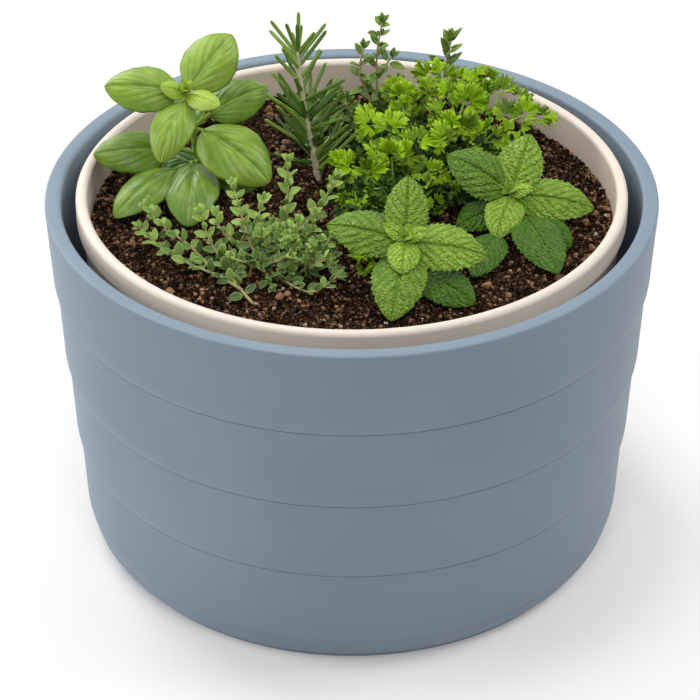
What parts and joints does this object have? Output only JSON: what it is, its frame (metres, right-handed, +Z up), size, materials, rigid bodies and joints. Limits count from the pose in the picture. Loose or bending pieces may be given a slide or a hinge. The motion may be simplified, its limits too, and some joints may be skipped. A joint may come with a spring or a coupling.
{
  "type": "planter pot with liner",
  "caption": "Free-standing stepped round planter: a tapered outer pot and a lift-out liner pot with soil and kitchen herbs.",
  "frame": {"origin": "middle of the outer pot's base, on the floor", "axes": "+Z up along the pots' common axis; -Y towards the side shown at the front of the picture; +X to its right"},
  "size_m": [0.35, 0.35, 0.3144],
  "materials": {
    "outer_pot": "matte moulded plastic, blue-grey",
    "inner_pot": "satin moulded plastic, cream",
    "potting_soil": "loose dark potting mix",
    "basil_leaf": "smooth glossy leaf",
    "rosemary_needle": "leathery needle",
    "thyme_leaf": "small matte leaf",
    "parsley_leaf": "fresh satin leaf",
    "mint_leaf": "quilted matte leaf"
  },
  "bodies": {
    "outer_pot": {"outer_pot": "outer_pot"},
    "inner_pot": {"inner_pot": "inner_pot", "potting_soil": "potting_soil", "basil": "basil_leaf", "rosemary": "rosemary_needle", "creeping_thyme": "thyme_leaf", "upright_thyme": "thyme_leaf", "thyme_sprig": "thyme_leaf", "parsley": "parsley_leaf", "mint_front": "mint_leaf", "mint_right": "mint_leaf"}
  },
  "joints": [
    {"name": "inner_pot_lift", "type": "slide", "parent": "outer_pot", "child": "inner_pot", "axis": [0, 0, 1], "range_m": [0, 0.235]}
  ]
}
